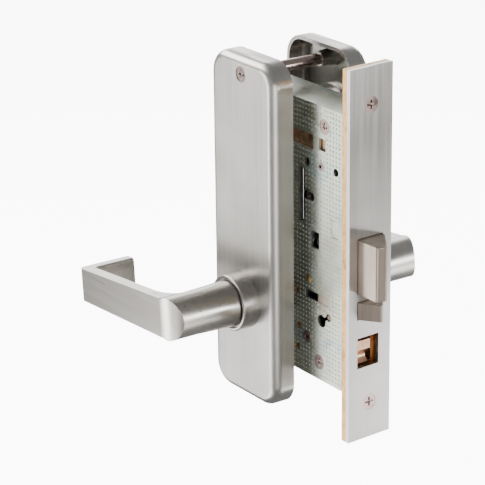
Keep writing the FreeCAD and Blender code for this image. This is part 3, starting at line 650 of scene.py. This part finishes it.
    def build(self, finishes: Finishes) -> bpy.types.Object:
        """Build the lever, turned down by its droop."""
        lever = self.shank()
        combine(lever, self.flare(), "UNION")
        combine(lever, self.bar(), "UNION")
        lever.name = self.node + "_cast"
        clean(lever, 0.3)
        soften(lever, 0.45, 3, 28.0)
        axis = node_middle("inside_spindle")
        mesh = bmesh.new()
        mesh.from_mesh(lever.data)
        bmesh.ops.rotate(mesh, verts=mesh.verts, cent=(0, 0, 0),
                         matrix=Matrix.Rotation(math.radians(-self.droop_degrees), 3, "Y"))
        bmesh.ops.translate(mesh, verts=mesh.verts, vec=Vector((axis.x, 0, axis.z)) * MM)
        mesh.to_mesh(lever.data)
        mesh.free()
        if self.side is Side.OUTSIDE:
            mirror_to_outside(lever)
        shade(lever, 35.0)
        finishes.stand_in(lever, self.node, self.body)
        return lever


@dataclass
class Collar:
    """Trim ring round the shank, with a groove between its flat front and the shank."""

    side: Side
    node: str
    body: str = "lock_case"
    bore: float = 12.78
    groove_radius: float = 13.7
    groove_depth: float = 2.2
    edge: float = 0.9

    def build(self, finishes: Finishes) -> bpy.types.Object:
        """Build the ring on the inside and mirror it for the outside."""
        low, high = (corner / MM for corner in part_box(self.node))
        middle = (low + high) / 2
        radius = (high.x - low.x) / 2
        face = -max(abs(low.y), abs(high.y))
        back = -min(abs(low.y), abs(high.y))
        profile = [(self.bore, back), (radius, back)]
        for step in range(6):
            turn = step / 5 * math.pi / 2
            profile.append((radius - self.edge * (1 - math.cos(turn)),
                            face + self.edge * (1 - math.sin(turn))))
        profile += [(self.groove_radius + 0.25, face), (self.groove_radius, face + 0.25),
                    (self.groove_radius, face + self.groove_depth), (self.bore, face + self.groove_depth)]
        ring = piece_from(self.node + "_ring", lathe(profile, middle.x, middle.z, 128))
        if self.side is Side.OUTSIDE:
            mirror_to_outside(ring)
        shade(ring)
        finishes.stand_in(ring, self.node, self.body)
        return ring


# ------------------------------------------------------------------ toggle
@dataclass
class ToggleRocker:
    """Two-position rocker: a flat upper pad and a hollowed lower pad that run into each other.

    It is drawn solid, without its pin's bore, so the pin crosses it.
    """

    node: str = "toggle_rocker"
    body: str = "toggle"
    lower_pad_share: float = 0.5
    hollow: float = 3.0
    lip: float = 0.9
    edge: float = 0.35
    steps: int = 14

    def build(self, finishes: Finishes) -> bpy.types.Object:
        """Draw the rocker's side, extrude it across and round its edges."""
        low, high = (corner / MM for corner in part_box(self.node))
        break_z = low.z + (high.z - low.z) * self.lower_pad_share
        side = [(low.x, low.z + 1.5), (low.x + 3.5, low.z)]
        for step in range(self.steps + 1):
            share = step / self.steps
            dip = self.hollow * math.sin(math.pi * share) + self.lip * (1 - share)
            side.append((high.x - self.lip - dip, low.z + 0.2 + (break_z - low.z) * share))
        side += [(high.x, break_z + 1.2), (high.x, high.z - 0.6), (high.x - 2.0, high.z),
                 (low.x, high.z - 3.0)]
        mesh = bmesh.new()
        face = mesh.faces.new([mesh.verts.new((x * MM, low.y * MM, z * MM)) for x, z in side])
        drawn = bmesh.ops.extrude_face_region(mesh, geom=[face])
        moved = [item for item in drawn["geom"] if isinstance(item, bmesh.types.BMVert)]
        bmesh.ops.translate(mesh, verts=moved, vec=(0, (high.y - low.y) * MM, 0))
        bmesh.ops.recalc_face_normals(mesh, faces=mesh.faces)
        rocker = piece_from(self.node + "_pads", mesh)
        soften(rocker, self.edge, 3, 40.0)
        shade(rocker)
        finishes.stand_in(rocker, self.node, self.body)
        return rocker


# ------------------------------------------------------------------ case
@dataclass
class CaseCover:
    """Near wall of the case: plain sheet with rows of small pressed studs."""

    node: str = "case_cover"
    body: str = "lock_case"
    pitch_x: float = 2.6
    pitch_z: float = 2.5
    stud_half_width: float = 0.55
    stud_half_height: float = 0.68
    stud_rise: float = 0.3
    margin: float = 0.85
    back_inset: float = 1.8
    top_inset: float = 1.9
    smooth_from_x: float = -8.0
    smooth_to_x: float = -2.0

    def build(self, finishes: Finishes) -> None:
        """Stand a softened sheet in the node's place and set the studs on it."""
        sheet = merged_copy(self.node, "case_cover_sheet")
        mesh = bmesh.new()
        mesh.from_mesh(sheet.data)
        tree = BVHTree.FromBMesh(mesh)
        mesh.free()
        clean(sheet)
        soften(sheet, 0.18, 1, 50.0)
        shade(sheet)
        finishes.stand_in(sheet, self.node, self.body)
        studs = self.studs(tree)
        shade(studs, 80.0)
        finishes.dress(studs, "zinc_sheet")
        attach(studs, self.body)
        LOG.info("%s rides on %s: %d faces", studs.name, self.body, len(studs.data.polygons))

    def studs(self, tree: BVHTree) -> bpy.types.Object:
        """Lay one low oval stud at every place where the sheet is whole.

        Args:
            tree: Search tree of the sheet.

        Returns:
            Every stud in one piece, each a closed shell.
        """
        low, high = (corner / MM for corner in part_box(self.node))
        columns = int((high.x - low.x) / self.pitch_x)
        rows = int((high.z - low.z) / self.pitch_z)
        first = Vector((low.x + self.back_inset, low.y, high.z - self.top_inset - (rows - 1) * self.pitch_z))
        size = Vector((self.stud_half_width, self.stud_rise, self.stud_half_height)) * MM
        ball = bmesh.new()
        bmesh.ops.create_uvsphere(ball, u_segments=8, v_segments=6, radius=1.0,
                                  matrix=Matrix.Translation(first * MM) @ Matrix.Diagonal(size.to_4d()))
        corners = len(ball.verts)
        made = piece_from("case_cover_studs", ball)
        for name, count, step in (("row", rows, (0, 0, self.pitch_z * MM)),
                                  ("column", columns, (self.pitch_x * MM, 0, 0))):
            array = made.modifiers.new(name, "ARRAY")
            array.count = count
            array.use_relative_offset = False
            array.use_constant_offset = True
            array.constant_offset_displace = step
        apply_modifiers(made)
        mesh = bmesh.new()
        mesh.from_mesh(made.data)
        spare = []
        verts = list(mesh.verts)
        for number in range(columns * rows):
            stud = verts[number * corners:(number + 1) * corners]
            place = first + Vector((number // rows * self.pitch_x, 0, number % rows * self.pitch_z))
            share = min(max((self.smooth_to_x - place.x) / (self.smooth_to_x - self.smooth_from_x), 0), 1)
            if share < 0.1 or not self.whole(tree, place.x, place.z, low.y):
                spare += stud
            for vert in stud:
                vert.co.y = (low.y + (vert.co.y / MM - low.y) * share) * MM
        bmesh.ops.delete(mesh, geom=spare, context="VERTS")
        mesh.to_mesh(made.data)
        mesh.free()
        return made

    def whole(self, tree: BVHTree, x: float, z: float, face_y: float) -> bool:
        """Tell whether the sheet has no hole or edge within the margin of a place."""
        for step in range(9):
            reach = self.margin if step else 0.0
            turn = step / 8 * math.tau
            start = Vector((x + reach * math.cos(turn), face_y - 3, z + reach * math.sin(turn))) * MM
            hit = tree.ray_cast(start, Vector((0, 1, 0)), 3.2 * MM)[0]
            if hit is None:
                return False
        return True


@dataclass(frozen=True)
class SoftenedNode:
    """CAD node that keeps its shape and only gets its sharp edges eased."""

    node: str
    body: str
    width: float
    segments: int = 2
    angle: float = 32.0

    def build(self, finishes: Finishes) -> None:
        """Stand an eased copy in the node's place."""
        piece = merged_copy(self.node, self.node + "_eased")
        clean(piece)
        soften(piece, self.width, self.segments, self.angle)
        shade(piece)
        finishes.stand_in(piece, self.node, self.body)


EASED_NODES = (
    SoftenedNode("armored_front", "lock_case", 0.3, 3, 50.0),
    SoftenedNode("inner_front", "lock_case", 0.25, 2, 50.0),
    SoftenedNode("case_body", "lock_case", 0.4, 3, 50.0),
    SoftenedNode("latchbolt", "latch", 0.45, 3, 25.0),
    SoftenedNode("auxiliary_bolt", "guard_bolt", 0.35, 3, 20.0),
    SoftenedNode("auxiliary_tail", "guard_bolt", 0.2, 2, 50.0),
    SoftenedNode("toggle_housing", "lock_case", 0.2, 2, 50.0),
    SoftenedNode("front_screws", "lock_case", 0.08, 2, 30.0),
    SoftenedNode("cover_screws", "lock_case", 0.08, 2, 30.0),
    SoftenedNode("trim_screw", "lock_case", 0.08, 2, 30.0),
    SoftenedNode("cover_eyelets", "lock_case", 0.12, 2, 50.0),
    SoftenedNode("cylinder_body", "lock_case", 0.3, 3, 50.0),
    SoftenedNode("cylinder_ring", "lock_case", 0.4, 3, 50.0),
    SoftenedNode("key_plug", "key_cylinder", 0.1, 2, 50.0),
    SoftenedNode("guide_tab", "lock_case", 0.3, 2, 50.0),
    SoftenedNode("mounting_post", "lock_case", 0.2, 2, 40.0),
)


# ------------------------------------------------------------------ set
@dataclass(frozen=True)
class Lamp:
    """Soft oblong light that faces the lock: place and size in metres, power in watts."""

    name: str
    place: tuple[float, float, float]
    size: tuple[float, float]
    power: float

    def hang(self, aim_at: Vector) -> None:
        """Hang the light so that it faces a place."""
        data = bpy.data.lights.new(self.name, "AREA")
        data.shape = "RECTANGLE"
        data.size, data.size_y = self.size
        data.energy = self.power
        holder = bpy.data.objects.new(self.name, data)
        place = Vector(self.place)
        turn = (aim_at - place).to_track_quat("-Z", "Y").to_matrix()
        holder.matrix_world = Matrix.Translation(place) @ turn.to_4x4()
        bpy.context.scene.collection.objects.link(holder)


LAMPS = (
    Lamp("key_upper_left", (-0.95, -0.42, 0.70), (0.9, 0.6), 21.0),
    Lamp("back_left", (-1.15, 0.80, 0.50), (1.3, 0.8), 13.0),
    Lamp("horizon_right", (1.05, 0.68, 0.06), (1.1, 0.22), 15.0),
    Lamp("elbow_strip", (-0.55, -0.74, -0.05), (0.20, 0.60), 6.0),
    Lamp("low_behind_right", (0.62, 0.86, -0.66), (0.9, 0.5), 6.5),
    Lamp("low_front_left", (-0.60, -0.85, -0.72), (0.9, 0.5), 10.0),
    Lamp("front_right", (0.95, -0.62, -0.10), (0.5, 0.8), 7.0),
)


@dataclass(frozen=True)
class Studio:
    """Pale floor, soft lights and the camera."""

    lens_mm: float = 169.39
    yaw_degrees: float = -55.377
    pitch_degrees: float = 20.009
    roll_degrees: float = -0.702
    distance_mm: float = 1174.74
    shift_right_mm: float = 65.77
    shift_up_mm: float = -7.24
    floor_drop_mm: float = 300.0
    lamp_aim_x: float = -0.06

    def camera(self) -> None:
        """Stand the camera at its viewing angle."""
        yaw, pitch = math.radians(self.yaw_degrees), math.radians(self.pitch_degrees)
        forward = Vector((math.sin(yaw) * math.cos(pitch), math.cos(yaw) * math.cos(pitch), -math.sin(pitch)))
        level = Vector((math.cos(yaw), -math.sin(yaw), 0))
        rise = level.cross(forward)
        roll = math.radians(self.roll_degrees)
        right = level * math.cos(roll) + rise * math.sin(roll)
        up = rise * math.cos(roll) - level * math.sin(roll)
        place = -forward * self.distance_mm - right * self.shift_right_mm - up * self.shift_up_mm
        data = bpy.data.cameras.new("camera")
        data.sensor_width = 36.0
        data.lens = self.lens_mm
        data.clip_start, data.clip_end = 0.05, 20.0
        holder = bpy.data.objects.new("camera", data)
        turn = Matrix((right, up, -forward)).transposed()
        holder.matrix_world = Matrix.Translation(place * MM) @ turn.to_4x4()
        bpy.context.scene.collection.objects.link(holder)
        bpy.context.scene.camera = holder

    def floor(self) -> None:
        """Lay a plain pale floor under the lock, which the metal does not mirror."""
        mesh = bmesh.new()
        bmesh.ops.create_grid(mesh, x_segments=1, y_segments=1, size=4.0)
        low = CAD_BOX[0].z - self.floor_drop_mm * MM
        bmesh.ops.translate(mesh, verts=mesh.verts, vec=(0, 0, low))
        ground = piece_from("floor", mesh)
        made = bpy.data.materials.new("matt_white_floor")
        made.use_nodes = True
        shader = made.node_tree.nodes["Principled BSDF"]
        shader.inputs["Base Color"].default_value = linear("f6f6f5")
        shader.inputs["Roughness"].default_value = 0.9
        shader.inputs["Emission Color"].default_value = linear("ffffff")
        shader.inputs["Emission Strength"].default_value = 9.0
        ground.data.materials.append(made)
        ground.visible_glossy = False
        ground.visible_shadow = False

    def world(self) -> None:
        """Surround the lock with a plain white room that lights it softly."""
        made = bpy.data.worlds.new("white_room")
        made.use_nodes = True
        tree = made.node_tree
        tree.nodes.clear()
        path = add(tree, "ShaderNodeLightPath")
        soft = add(tree, "ShaderNodeBackground", {"Color": linear("d4d6d8"), "Strength": 0.62})
        seen = add(tree, "ShaderNodeBackground", {"Color": linear("ffffff"), "Strength": 10.0})
        mix = add(tree, "ShaderNodeMixShader", None,
                  {0: path.outputs["Is Camera Ray"], 1: soft.outputs[0], 2: seen.outputs[0]})
        add(tree, "ShaderNodeOutputWorld", None, {"Surface": mix.outputs[0]})
        bpy.context.scene.world = made

    def build(self) -> None:
        """Set up floor, lights and camera."""
        self.floor()
        self.world()
        for lamp in LAMPS:
            lamp.hang(Vector((self.lamp_aim_x, 0, 0)))
        self.camera()


def main() -> None:
    """Build the pieces in order and dress every CAD node that stays."""
    logging.basicConfig(level=logging.INFO, format="%(name)s: %(message)s")
    finishes = Finishes()
    for node in frame["nodes"].values():
        finishes.dress(node, finishes.slot_of[node.name])
    for side, word in ((Side.INSIDE, "inside"), (Side.OUTSIDE, "outside")):
        Escutcheon(side, word + "_escutcheon").build(finishes)
        Collar(side, word + "_collar").build(finishes)
        ReturnLever(side, word + "_lever", word + "_handle").build(finishes)
    CaseCover().build(finishes)
    ToggleRocker().build(finishes)
    for eased in EASED_NODES:
        eased.build(finishes)
    Studio().build()


if __name__ == "__main__":
    main()
